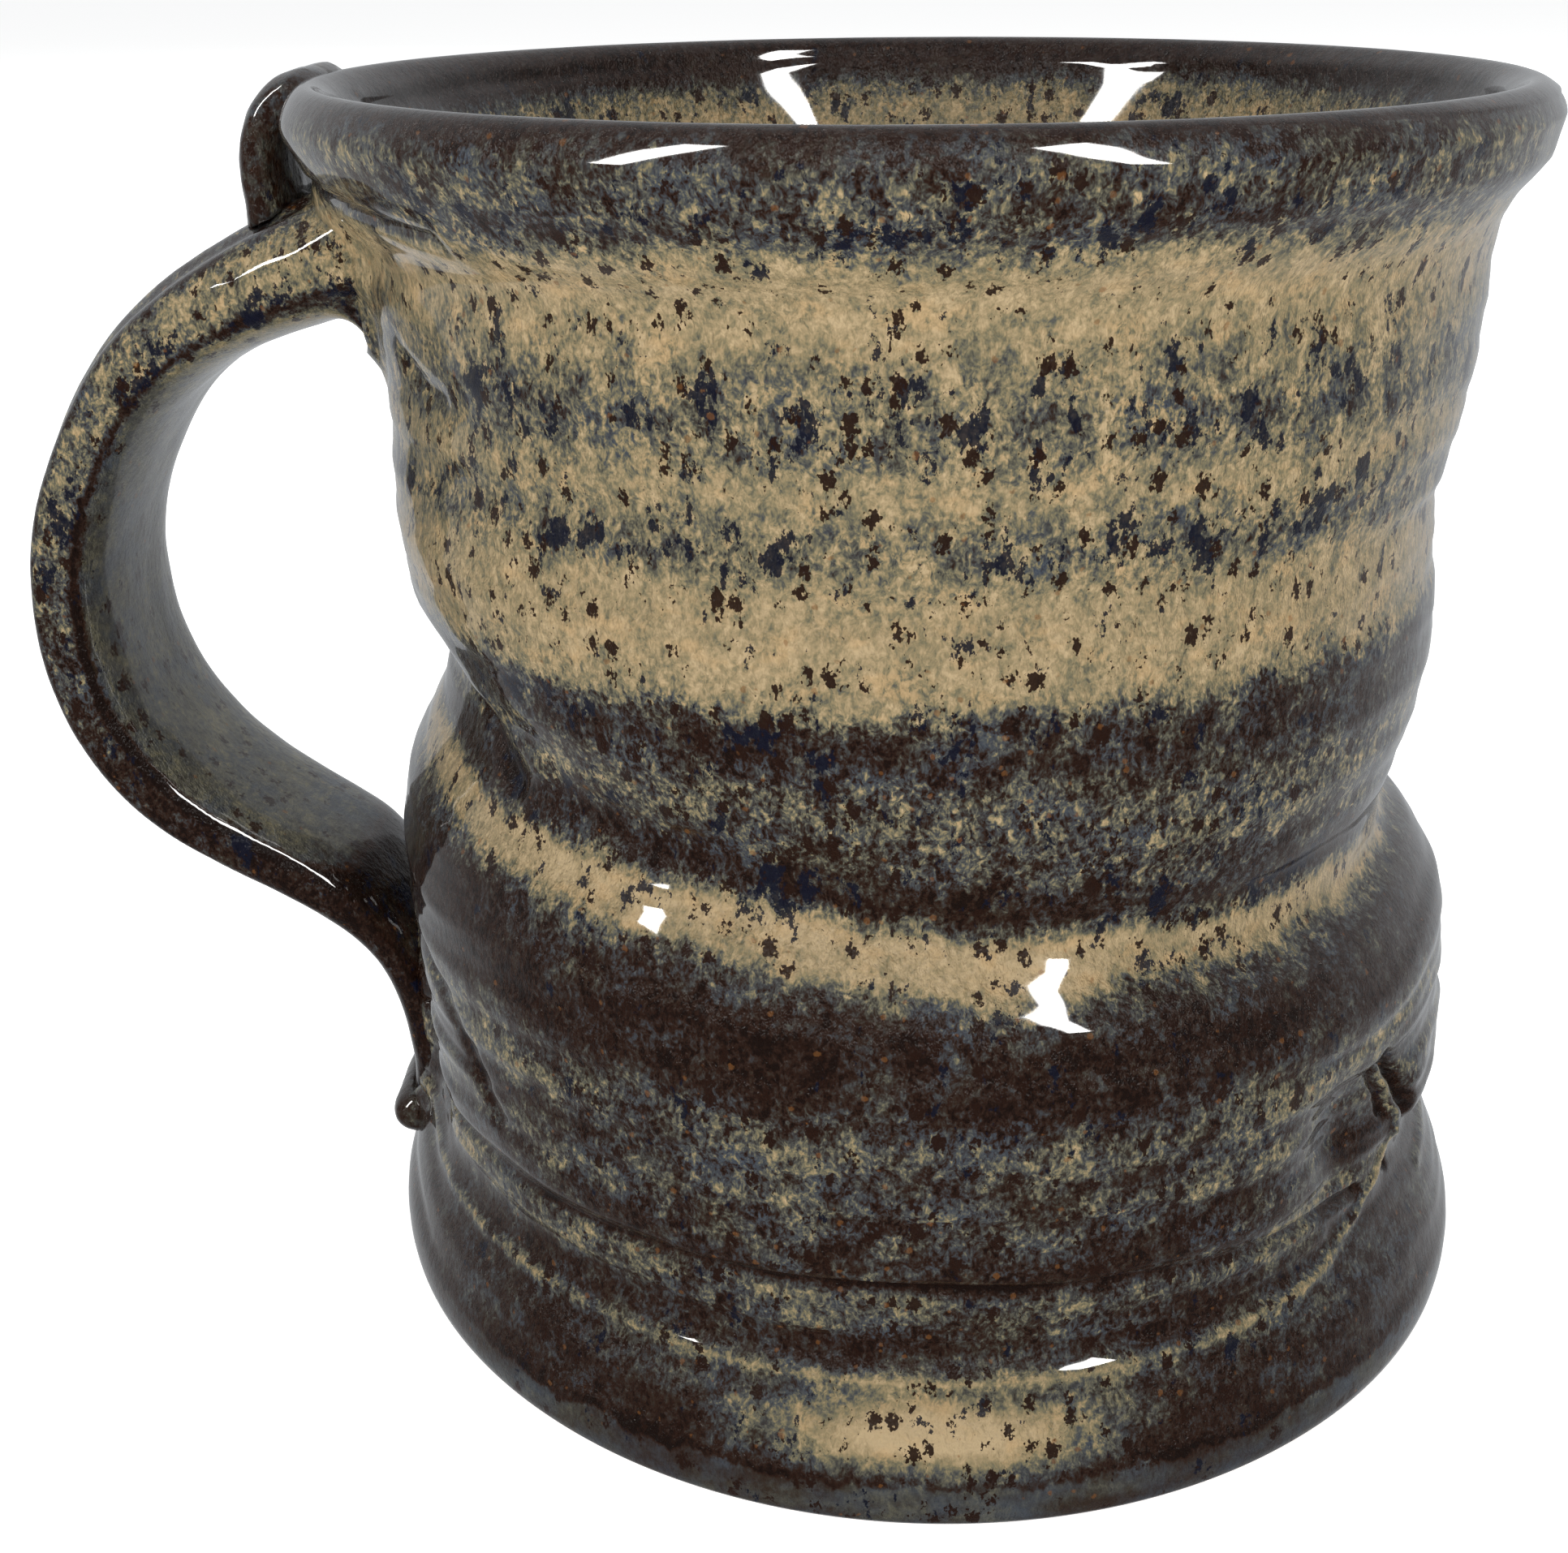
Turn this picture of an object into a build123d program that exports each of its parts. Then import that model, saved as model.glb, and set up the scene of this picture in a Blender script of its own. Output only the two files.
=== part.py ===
"""A hand-thrown stoneware mug with a buckled waist, a pulled strap handle and its small clay additions.

Millimetres. The origin is the centre of the foot, on the surface that the mug stands on, with +Z up.
The handle points along -X. An azimuth is measured about +Z from +X, in degrees.
"""
from build123d import *
import os
from math import copysign, cos, degrees, exp, hypot, pi, radians, sin

# --- thrown body: heights above the foot ---
HEIGHT = 95.5                 # to the crest of the lip
PINCH_HEIGHT = 14.0           # the groove above the flared foot
WAIST_FAR = 41.0              # the buckle of the wall, on the side away from the handle
WAIST_FRONT = 44.0            # a quarter of the way round
WAIST_HANDLE = 56.0           # on the handle side
LIP_DEPTH = 10.0              # the flare under the crest of the lip
FLOOR = 6.0                   # thickness of the clay floor
FOOT_EDGE = 3.4               # the plain band round the bottom of the foot
FOOT_BEVEL = 0.4              # the worn edge that the foot stands inside

# --- thrown body: radii and wall ---
FOOT_RADIUS = 46.8
PINCH_RADIUS = 42.9
BELLY_RADIUS = 43.4
WAIST_RADIUS = 37.4
UPPER_RADIUS = 40.5
LIP_RADIUS = 45.7
RIM_SHIFT = 1.3               # the rim leans this far towards the handle
RIM_DROP = 1.0                # and its plane falls by this much
RIM_HIGH = 165.0              # from its high side, at this azimuth
WALL = 4.2                    # wall of the belly and the upper part
LIP_WALL = 4.6                # wall of the flare at its fullest
CREST_FLAT = 0.6              # the flat left between the two rounds of the lip
FLOOR_CORNER = 8.0            # how far in from the wall the flat of the floor starts

# --- pulled handle ---
HANDLE_OUT = 28.6             # from the upper wall to the middle of the strap, at the middle of the bow
ROOT_DROP = 2.1               # from where the flare starts down to the middle of the root
BOW_HEIGHT = 54.0             # height of the bow's outermost point
LOWER_JOINT = 28.6            # height where the strap comes back to the belly
TAIL_END = 8.2                # height of the tail's lower end
STRAP_WIDTH = 19.5
STRAP_THICKNESS = 6.9
ROOT_WIDTH = 24.0
ROOT_THICKNESS = 9.8
TAIL_WIDTH = 14.0
TAIL_TAPER = 2.0              # how much wider the tail starts than it ends
TAIL_THICKNESS = 4.6
STRAP_SQUARENESS = 2.8        # exponent of the strap's section: 2 is an ellipse

# --- clay additions ---
THUMB_WIDTH = 13.0
THUMB_THICKNESS = 3.6
THUMB_STANDOFF = 2.2          # from the fullest part of the lip to the middle of the thumb rest
THUMB_RISE = 0.8              # how far it stands above the crest of the lip
SCROLL_RADIUS = 2.1
SCROLL_WIDTH = 12.0
UPPER_COIL = 3.2              # reach of the coil pressed into the corner under the strap's root
LOWER_COIL = 6.0              # reach of the coil pressed into the corner above the lower joint
COIL_RISE = 0.6               # how far the upper coil climbs along the root
LOWER_COIL_RISE = 2.4         # how far the lower coil climbs along the strap
COIL_HOLLOW = 0.25            # how hollow a coil's face is: 0.5 would be straight
COIL_TUCK = 2.0               # how far an added piece runs into its neighbours before it is trimmed
JOINT_STANDING = 5.966        # how far the strap's middle stands off the belly at the lower joint
JOINT_THINNING = 0.4          # how much of the strap's taper to the tail is reached there
MOUTH_CLEAR = 1.5             # how far the space inside is run on above the crest before it is cut out
MOUTH_SPREAD = 1.0            # how much wider it is there

RING_POINTS = 48
SECTION_POINTS = 20

# Heights and radii that follow from the sizes above.
FLARE_HEIGHT = HEIGHT - LIP_DEPTH
UPPER_JOINT = FLARE_HEIGHT - ROOT_DROP
RIM_OUT = LIP_RADIUS + RIM_SHIFT

# A dent or a swelling of the soft wall: azimuth, height, half width in degrees, half height, depth inwards.
DENTS = [
    (-42.0, 22.0, 8.0, 6.5, 1.6),
    (-14.0, 14.0, 12.0, 4.0, 0.5),
    (-152.0, 53.0, 14.0, 6.0, 1.3),
    (-140.0, 63.0, 16.0, 5.0, -0.8),
    (-118.0, 48.0, 18.0, 4.0, 0.6),
    (-60.0, 50.0, 22.0, 5.0, -0.5),
    (-148.0, 77.0, 9.0, 3.5, 0.6),
    (35.0, 62.0, 18.0, 8.0, 0.8),
    (88.0, 30.0, 22.0, 8.0, -0.6),
    (110.0, 66.0, 16.0, 7.0, 0.7),
]


def round_the_wall(far, front, handle, azimuth):
    """A value that swings smoothly round the wall, through its far, front and handle-side values."""
    middle = (far + handle) / 2
    angle = radians(azimuth)
    return middle + (far - handle) / 2 * cos(angle) + (middle - front) * sin(angle)


def waist_height(azimuth):
    return round_the_wall(WAIST_FAR, WAIST_FRONT, WAIST_HANDLE, azimuth)


def dent_depth(azimuth, height):
    """How far the dents push the wall in at one place."""
    depth = 0.0
    for dent_azimuth, dent_height, half_width, half_height, push in DENTS:
        turn = (azimuth - dent_azimuth + 180) % 360 - 180
        depth += push * exp(-(turn / half_width) ** 2 - ((height - dent_height) / half_height) ** 2)
    return depth


# Rings of the outer wall, from the foot up. Foot rings: height and inset from the foot's radius.
FOOT_RINGS = [(0.0, FOOT_BEVEL), (FOOT_EDGE / 4, 0.1), (FOOT_EDGE / 2, 0.0), (FOOT_EDGE, 0.1),
              (FOOT_EDGE + 1.2, 0.6), (FOOT_EDGE + 4.0, 1.5)]

# Foot flare: share of the way from the foot's top to the pinch, and the share of the inset reached.
FLARE_RINGS = [(0.4, 0.58), (0.75, 0.96)]

# Belly rings: share of the way from pinch to waist, and offsets from the belly's radius, far, front, handle.
BELLY_RINGS = [(0.12, -0.1, 0.0, -0.1), (0.35, 0.0, 0.1, 0.2), (0.58, 0.0, 0.2, 0.3), (0.70, -0.5, -0.2, -0.7),
               (0.80, -2.2, -1.1, -2.9), (0.90, -4.6, -2.8, -4.5)]

# The waist itself: offsets from the waist's radius.
WAIST_OFFSETS = (-0.4, 1.5, 1.3)

# Upper rings: share of the way from waist to flare, and offsets from the upper wall's radius.
UPPER_RINGS = [(0.12, -2.5, -1.0, -0.1), (0.25, -1.0, -0.3, 0.9), (0.37, -0.8, 0.1, 1.0),
               (0.50, -1.6, -0.2, 0.8), (0.62, -1.2, -0.1, 0.7), (0.74, -0.2, 0.2, 0.9), (0.87, 0.2, 0.4, 1.2),
               (1.0, 0.5, 0.9, 1.8)]

# Lip rings: depth under the crest and inset from the lip's radius.
LIP_RINGS = [(8.0, 2.9), (6.5, 2.0), (4.8, 0.8), (3.2, 0.0), (1.8, 0.25), (0.7, 0.95), (0.0, 1.9)]

# Inside of the lip: depth under the crest and inset from the lip's inner radius.
INNER_LIP_RINGS = [(8.0, 2.2), (5.5, 1.0), (3.2, 0.1), (1.8, -0.4), (0.7, -1.1)]

# Inside corner of the floor: rise above the floor and share of the corner still to go.
FLOOR_RINGS = [(0.0, 1.0), (2.4, 0.45), (6.2, 0.12)]


def ring(height_at, radius_at):
    """One closed ring of the wall as a smooth loop."""
    points = []
    for step in range(RING_POINTS):
        azimuth = 360 * step / RING_POINTS
        height = height_at(azimuth)
        radius = radius_at(azimuth) - dent_depth(azimuth, height)
        points.append((radius * cos(radians(azimuth)), radius * sin(radians(azimuth)), height))
    return Wire([Spline(points, periodic=True)])


def level_ring(height, radius):
    """A round ring at one height."""
    return ring(lambda azimuth: height, lambda azimuth: radius)


def rim_ring(depth, radius):
    """A ring of the lip, in a plane that falls away from its high side."""
    def radius_at(azimuth):
        return radius - RIM_SHIFT * cos(radians(azimuth))

    def height_at(azimuth):
        towards_high = radius_at(azimuth) * cos(radians(azimuth - RIM_HIGH)) / LIP_RADIUS
        return HEIGHT - depth - RIM_DROP * (1 - towards_high) / 2

    return ring(height_at, radius_at)


def share_ring(share, low_at, high_at, base, offsets, inset=0.0):
    """A ring part of the way between two heights that may themselves swing round the wall."""
    return ring(
        lambda azimuth: low_at(azimuth) + share * (high_at(azimuth) - low_at(azimuth)),
        lambda azimuth: base + round_the_wall(*offsets, azimuth) - inset)


def pinch_at(azimuth):
    return PINCH_HEIGHT


def flare_at(azimuth):
    return FLARE_HEIGHT


def wall_rings(inset):
    """The rings of belly, waist and upper wall, moved in by one wall for the inside."""
    rings = []
    for share, *offsets in BELLY_RINGS:
        rings.append(share_ring(share, pinch_at, waist_height, BELLY_RADIUS, offsets, inset))
    rings.append(share_ring(1.0, pinch_at, waist_height, WAIST_RADIUS, WAIST_OFFSETS, inset))
    for share, *offsets in UPPER_RINGS:
        rings.append(share_ring(share, waist_height, flare_at, UPPER_RADIUS, offsets, inset))
    return rings


def outer_form():
    """The whole outside of the thrown form, as if it were solid."""
    rings = [level_ring(height, FOOT_RADIUS - inset) for height, inset in FOOT_RINGS]
    flare_height, flare_inset = FOOT_RINGS[-1]
    flare_radius = FOOT_RADIUS - flare_inset
    for up, inward in FLARE_RINGS:
        height = flare_height + up * (PINCH_HEIGHT - flare_height)
        rings.append(level_ring(height, flare_radius + inward * (PINCH_RADIUS - flare_radius)))
    rings.append(level_ring(PINCH_HEIGHT, PINCH_RADIUS))
    rings += wall_rings(0.0)
    rings += [rim_ring(depth, LIP_RADIUS - inset) for depth, inset in LIP_RINGS]
    return Solid.make_loft(rings)


def inner_form():
    """The space inside the wall, from the floor through the crest to just above it."""
    wall_radius = BELLY_RADIUS - WALL
    rings = [level_ring(FLOOR + rise, wall_radius - share * FLOOR_CORNER) for rise, share in FLOOR_RINGS]
    rings += wall_rings(WALL)
    rings += [rim_ring(depth, LIP_RADIUS - LIP_WALL - inset) for depth, inset in INNER_LIP_RINGS]
    crest_radius = LIP_RADIUS - LIP_RINGS[-1][1] - CREST_FLAT
    rings.append(rim_ring(0.0, crest_radius))
    rings.append(rim_ring(-MOUTH_CLEAR, crest_radius + MOUTH_SPREAD))
    return Solid.make_loft(rings)


def handle_plane(out, height, run_out, run_up):
    """A plane across the handle, at a distance from the mug's axis, facing along the strap."""
    length = hypot(run_out, run_up)
    forward = (-run_out / length, 0, run_up / length)
    return Plane(origin=(-out, 0, height), x_dir=(0, 1, 0), z_dir=forward)


def strap_section(plane, width, thickness):
    """The strap's section: a rounded flat oval."""
    points = []
    for step in range(SECTION_POINTS):
        angle = 2 * pi * step / SECTION_POINTS
        across = abs(cos(angle)) ** (2 / STRAP_SQUARENESS) * width / 2
        through = abs(sin(angle)) ** (2 / STRAP_SQUARENESS) * thickness / 2
        corner = (copysign(across, cos(angle)), copysign(through, sin(angle)), 0)
        points.append(plane.from_local_coords(corner))
    return Wire([Spline(points, periodic=True)])


def strap_through(stations):
    """A strap of clay lofted through stations of distance from the axis, height, width and thickness."""
    sections = []
    for index, (out, height, width, thickness) in enumerate(stations):
        before = stations[max(index - 1, 0)]
        after = stations[min(index + 1, len(stations) - 1)]
        plane = handle_plane(out, height, after[0] - before[0], after[1] - before[1])
        sections.append(strap_section(plane, width, thickness))
    return Solid.make_loft(sections)


# The bow of the handle above and below its outermost point: share of the way out and of the way to the joint,
# then the share of the root's extra width and thickness that is left there.
UPPER_BOW = [(-0.10, 1.05, 1.0, 1.0), (0.16, 0.97, 0.85, 0.78), (0.38, 0.89, 0.55, 0.45), (0.59, 0.78, 0.3, 0.18),
             (0.765, 0.62, 0.12, 0.05), (0.89, 0.43, 0.0, 0.0), (0.975, 0.22, 0.0, 0.0)]
LOWER_BOW = [(0.967, 0.265, 0.0), (0.87, 0.49, 0.0), (0.715, 0.68, 0.1), (0.51, 0.84, 0.25)]

# The tail down the belly: share of the way from lower joint to tail end, distance of the clay's middle from the
# axis, which follows the belly, the pinch and the foot in turn.
TAIL_RUN = [(0.24, BELLY_RADIUS + 2.6), (0.5, BELLY_RADIUS + 0.7), (0.76, PINCH_RADIUS + 0.6), (1.0, FOOT_RADIUS - 2.8)]


def handle_form():
    """The pulled strap, from its root under the flare to the end of its tail on the foot."""
    stations = []
    for out, up, wide, thick in UPPER_BOW:
        stations.append((UPPER_RADIUS + out * HANDLE_OUT, BOW_HEIGHT + up * (UPPER_JOINT - BOW_HEIGHT),
                         STRAP_WIDTH + wide * (ROOT_WIDTH - STRAP_WIDTH),
                         STRAP_THICKNESS + thick * (ROOT_THICKNESS - STRAP_THICKNESS)))
    stations.append((UPPER_RADIUS + HANDLE_OUT, BOW_HEIGHT, STRAP_WIDTH, STRAP_THICKNESS))
    lower = [(UPPER_RADIUS + out * HANDLE_OUT, down, thin) for out, down, thin in LOWER_BOW]
    lower.append((BELLY_RADIUS + JOINT_STANDING, 1.0, JOINT_THINNING))
    for distance, down, thin in lower:
        stations.append((distance, BOW_HEIGHT - down * (BOW_HEIGHT - LOWER_JOINT),
                         STRAP_WIDTH + thin * (TAIL_WIDTH - STRAP_WIDTH),
                         STRAP_THICKNESS + thin * (TAIL_THICKNESS - STRAP_THICKNESS)))
    for down, distance in TAIL_RUN:
        stations.append((distance, LOWER_JOINT - down * (LOWER_JOINT - TAIL_END),
                         TAIL_WIDTH + (1 - down) * TAIL_TAPER, TAIL_THICKNESS))
    return strap_through(stations)


# The thumb rest, from the root up and over: its middle from the standing line, share of the rise, and how much
# wider and thicker it is than its standing part.
THUMB_RUN = [(-0.3, 0.0, 2.0, 0.8), (0.2, 0.45, 0.6, 0.2), (0.0, 0.75, 0.0, 0.0), (-1.2, 0.91, -0.4, -0.1),
             (-3.2, 1.0, -1.0, -0.4), (-5.2, 0.94, -2.0, -0.8)]


def thumb_form():
    """A short strip stood up on the root and curled over to rest against the lip."""
    middle = RIM_OUT + THUMB_STANDOFF
    top = HEIGHT + THUMB_RISE - THUMB_THICKNESS / 2
    base = UPPER_JOINT - COIL_TUCK
    stations = []
    for out, up, wide, thick in THUMB_RUN:
        stations.append((middle + out, base + up * (top - base), THUMB_WIDTH + wide, THUMB_THICKNESS + thick))
    return strap_through(stations)


def scroll_form():
    """The tail's end rolled into a small scroll that lies round the top of the foot."""
    middle = FOOT_RADIUS - SCROLL_RADIUS / 2
    height = TAIL_END - SCROLL_RADIUS / 2
    swing = degrees(SCROLL_WIDTH / 2 / middle)
    arc = CenterArc((0, 0, height), middle, 180 - swing, 2 * swing)
    start = arc @ 0
    section = Plane(origin=start, z_dir=arc % 0) * Circle(SCROLL_RADIUS)
    roll = sweep(section, path=arc)
    return roll + Pos(*start) * Sphere(SCROLL_RADIUS) + Pos(*(arc @ 1)) * Sphere(SCROLL_RADIUS)


def corner_coil(corner_out, corner_height, along_wall, out, rise, width):
    """A coil of soft clay pressed into the corner between wall and strap, with a hollow face to the loop.

    along_wall is the signed height from the corner to the coil's edge on the wall; out and rise lead from
    the corner to its edge on the strap.
    """
    back = corner_out - COIL_TUCK
    tuck_up = copysign(COIL_TUCK, -along_wall)
    wall_edge = (-corner_out, corner_height + along_wall)
    strap_edge = (-corner_out - out, corner_height + rise)
    hollow = (-corner_out - COIL_HOLLOW * out, corner_height + COIL_HOLLOW * (along_wall + rise))
    outline = Polyline(
        strap_edge,
        (-corner_out - out, corner_height + rise + tuck_up),
        (-back, corner_height + tuck_up),
        (-back, corner_height + along_wall),
        wall_edge)
    outline += ThreePointArc(wall_edge, hollow, strap_edge)
    return extrude(Plane.XZ * make_face(outline), amount=width / 2, both=True)


def upper_coil_form():
    """The coil under the strap's root."""
    return corner_coil(UPPER_RADIUS + UPPER_RINGS[-1][-1] / 2, UPPER_JOINT - ROOT_THICKNESS / 2, -UPPER_COIL,
                       UPPER_COIL, COIL_RISE, STRAP_WIDTH)


def lower_coil_form():
    """The coil above the place where the strap comes back to the belly."""
    return corner_coil(BELLY_RADIUS, LOWER_JOINT + STRAP_THICKNESS / 2, LOWER_COIL, LOWER_COIL, LOWER_COIL_RISE,
                       TAIL_WIDTH + TAIL_TAPER)


def main():
    os.makedirs("parts", exist_ok=True)
    outer = outer_form()
    strap = handle_form() - outer
    nodes = {
        "thrown_body": outer - inner_form(),
        "pulled_handle": strap,
        "thumb_rest": thumb_form() - outer - strap,
        "tail_scroll": scroll_form() - outer - strap,
        "upper_joint_coil": upper_coil_form() - outer - strap,
        "lower_joint_coil": lower_coil_form() - outer - strap,
    }
    for name, solid in nodes.items():
        export_step(solid, "parts/" + name + ".step")


main()
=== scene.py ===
"""A hand-thrown glazed mug: its turned and dented wall, pulled handle, thumb rest and scrolled tail."""
import math

import bmesh
import bpy
import numpy as np
from mathutils import Matrix, Vector, noise
from mathutils.bvhtree import BVHTree


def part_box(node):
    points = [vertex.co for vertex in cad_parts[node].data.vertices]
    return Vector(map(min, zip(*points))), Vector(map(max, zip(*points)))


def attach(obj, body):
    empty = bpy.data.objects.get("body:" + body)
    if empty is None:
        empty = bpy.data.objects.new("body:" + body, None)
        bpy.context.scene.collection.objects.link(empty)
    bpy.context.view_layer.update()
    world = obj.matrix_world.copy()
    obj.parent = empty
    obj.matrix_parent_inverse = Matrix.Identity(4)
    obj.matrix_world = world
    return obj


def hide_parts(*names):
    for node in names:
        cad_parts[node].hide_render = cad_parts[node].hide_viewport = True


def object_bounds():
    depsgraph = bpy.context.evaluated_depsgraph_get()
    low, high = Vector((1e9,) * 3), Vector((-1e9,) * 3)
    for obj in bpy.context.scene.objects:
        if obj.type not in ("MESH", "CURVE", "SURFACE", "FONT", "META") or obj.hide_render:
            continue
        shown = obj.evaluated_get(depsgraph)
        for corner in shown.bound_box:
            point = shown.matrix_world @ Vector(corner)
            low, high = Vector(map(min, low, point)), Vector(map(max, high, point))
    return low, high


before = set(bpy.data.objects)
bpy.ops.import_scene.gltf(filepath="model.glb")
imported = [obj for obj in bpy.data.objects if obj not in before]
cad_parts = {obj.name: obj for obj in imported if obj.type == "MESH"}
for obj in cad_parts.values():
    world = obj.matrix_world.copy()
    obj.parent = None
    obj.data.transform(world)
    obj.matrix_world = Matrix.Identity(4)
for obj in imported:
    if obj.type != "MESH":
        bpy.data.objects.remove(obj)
cad_box = [list(corner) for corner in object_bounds()]

MM = 0.001

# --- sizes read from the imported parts, in millimetres ---
_, BODY_HIGH = [np.array(corner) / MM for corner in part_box("thrown_body")]
CREST = BODY_HIGH[2]
FOOT_RADIUS = BODY_HIGH[0]

# --- how the wall is turned, in millimetres ---
TURNS = 360                   # vertical lines round the wall
FINE_STEP = 0.45              # spacing of the rings on the lower wall
OUTER_STEP = 0.55             # on the upper wall
INNER_STEP = 2.5              # and inside
LIP_MIDDLE = (43.4, 92.3)     # the middle of the lip's roll, as (radius, height)
LIP_CLEAR = 5.4               # how far the turning line stands off that middle
REACH = 14.0                  # how far the line may be drawn in to meet the clay
FOOT_EDGE = 3.4               # height of the foot's upright edge
FLOOR_TOP = 6.0               # height of the floor inside
WALL_LINE_RADIUS = 45.6       # where the turning line runs outside the wall
INSIDE_LINE_RADIUS = 30.0     # and inside it
INSIDE_LIMIT = 44.8           # points nearer the axis than this are inside, above the floor
LOOP_MIDDLE = (-50.0, 0.0, 60.0)   # the middle of the handle's loop

# --- how clay is worked, in millimetres ---
WALL_SMOOTHING = 4            # rounds of smoothing after the line is drawn in
RING_PITCH = 4.4              # climb of the fingers in one turn
FINE_RING_PITCH = 1.9
INNER_RING_PITCH = 3.1
PULL_PITCH = 2.3              # spacing of the grooves that pulling leaves across the strap
PULL_DEPTH = 0.28


def activate(piece):
    """Makes one piece the only selected and active one."""
    if bpy.context.mode != "OBJECT":
        bpy.ops.object.mode_set(mode="OBJECT")
    bpy.ops.object.select_all(action="DESELECT")
    piece.select_set(True)
    bpy.context.view_layer.objects.active = piece


def finish_modifier(piece, kind, **settings):
    """Adds one modifier, sets it and applies it."""
    activate(piece)
    modifier = piece.modifiers.new(kind.title(), kind)
    for name, value in settings.items():
        setattr(modifier, name, value)
    bpy.ops.object.modifier_apply(modifier=modifier.name)


def copy_of_node(node, name):
    """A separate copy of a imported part, its loose triangles merged."""
    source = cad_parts[node]
    copy = bpy.data.objects.new(name, source.data.copy())
    bpy.context.collection.objects.link(copy)
    copy.data.materials.clear()
    activate(copy)
    bpy.ops.object.mode_set(mode="EDIT")
    bpy.ops.mesh.select_all(action="SELECT")
    bpy.ops.mesh.remove_doubles(threshold=0.002 * MM)
    bpy.ops.object.mode_set(mode="OBJECT")
    return copy


def join(pieces, name):
    """Several pieces as one mesh."""
    activate(pieces[0])
    for piece in pieces[1:]:
        piece.select_set(True)
    bpy.ops.object.join()
    pieces[0].name = name
    return pieces[0]


def read_points(piece):
    """A piece's points in millimetres, one row each."""
    return read_rows(piece, "co") / MM


def read_normals(piece):
    """The outward direction at each point."""
    return read_rows(piece, "normal")


def read_rows(piece, what):
    """Three numbers for each point, one row each."""
    flat = np.empty(len(piece.data.vertices) * 3, dtype=np.float32)
    piece.data.vertices.foreach_get(what, flat)
    return flat.reshape(-1, 3).astype(float)


def write_points(piece, points):
    """Moves a piece's points to places given in millimetres."""
    piece.data.vertices.foreach_set("co", (points * MM).astype(np.float32).ravel())
    piece.data.update()


def note(piece, name, values):
    """Keeps one number per point for the glaze to read."""
    attribute = piece.data.attributes.new(name, "FLOAT", "POINT")
    attribute.data.foreach_set("value", np.asarray(values, dtype=np.float32))


def ease(values, low, high):
    """0 below low, 1 above high, and a smooth rise between."""
    share = np.clip((values - low) / (high - low), 0, 1)
    return share * share * (3 - 2 * share)


def wander(points, pitch, seed):
    """Smooth noise of about -1 to 1 at each point, with lumps of one pitch."""
    shift = Vector((seed * 17.3, seed * 5.9, seed * 11.1))
    return np.array([noise.noise(Vector(point) / pitch + shift) for point in points])


# --- the thrown wall ---

# The turning line as (radius, height) corners: up the outside, over the lip, and down the inside.
LOWER_LINE = [(FOOT_RADIUS, FOOT_EDGE), (FOOT_RADIUS + 0.15, FOOT_EDGE + 0.6), (46.4, 8.0),
              (WALL_LINE_RADIUS, 14.0), (WALL_LINE_RADIUS, 30.0)]
UPPER_LINE = [(WALL_LINE_RADIUS, 30.0), (WALL_LINE_RADIUS, 76.0), (46.6, 83.0), (48.4, 89.0)]
INNER_LINE = [(37.4, 88.0), (34.6, 82.0), (31.0, 66.0), (INSIDE_LINE_RADIUS, 50.0), (INSIDE_LINE_RADIUS, 14.0)]
FLOOR_LINE = [(INSIDE_LINE_RADIUS, 14.0), (25.0, 10.0), (14.0, 8.5), (0.0, 8.5)]
# The underside, in rings from the middle out, and the foot's rounded lower edge.
UNDER_LINE = [(float(radius), 0.0) for radius in range(0, 43, 3)] + [(44.5, 0.0), (FOOT_RADIUS - 1.0, 0.0)]
EDGE_LINE = [(FOOT_RADIUS - 0.35, 0.12), (FOOT_RADIUS - 0.08, 0.5), (FOOT_RADIUS, 1.1), (FOOT_RADIUS, 2.2)]


def lip_line():
    """The part of the turning line that goes over the lip."""
    radius, height = LIP_MIDDLE
    turns = [math.radians(12 * step) for step in range(16)]
    return [(radius + LIP_CLEAR * math.cos(turn), height + LIP_CLEAR * math.sin(turn)) for turn in turns]


def turned_line(corners, step):
    """Points along straight legs, about one step apart."""
    line = [corners[0]]
    for (r0, z0), (r1, z1) in zip(corners, corners[1:]):
        count = max(1, round(math.hypot(r1 - r0, z1 - z0) / step))
        line += [(r0 + (r1 - r0) * i / count, z0 + (z1 - z0) * i / count) for i in range(1, count + 1)]
    return line


def spin_line(line, name):
    """A line of points extruded one by one and spun about the mug's axis."""
    bpy.ops.object.select_all(action="DESELECT")
    bpy.ops.mesh.primitive_plane_add(size=MM, location=(line[0][0] * MM, 0, line[0][1] * MM))
    piece = bpy.context.object
    piece.name = name
    bpy.ops.object.transform_apply(location=True)
    bpy.ops.object.mode_set(mode="EDIT")
    bpy.ops.mesh.merge(type="CENTER")
    here = line[0]
    for r, z in line[1:]:
        move = ((r - here[0]) * MM, 0, (z - here[1]) * MM)
        bpy.ops.mesh.extrude_region_move(TRANSFORM_OT_translate={"value": move})
        here = (r, z)
    bpy.ops.mesh.select_all(action="SELECT")
    bpy.ops.mesh.spin(steps=TURNS, angle=2 * math.pi, center=(0, 0, 0), axis=(0, 0, 1))
    bpy.ops.mesh.select_all(action="SELECT")
    bpy.ops.mesh.remove_doubles(threshold=0.01 * MM)
    bpy.ops.mesh.normals_make_consistent(inside=False)
    bpy.ops.object.mode_set(mode="OBJECT")
    return piece


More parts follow.
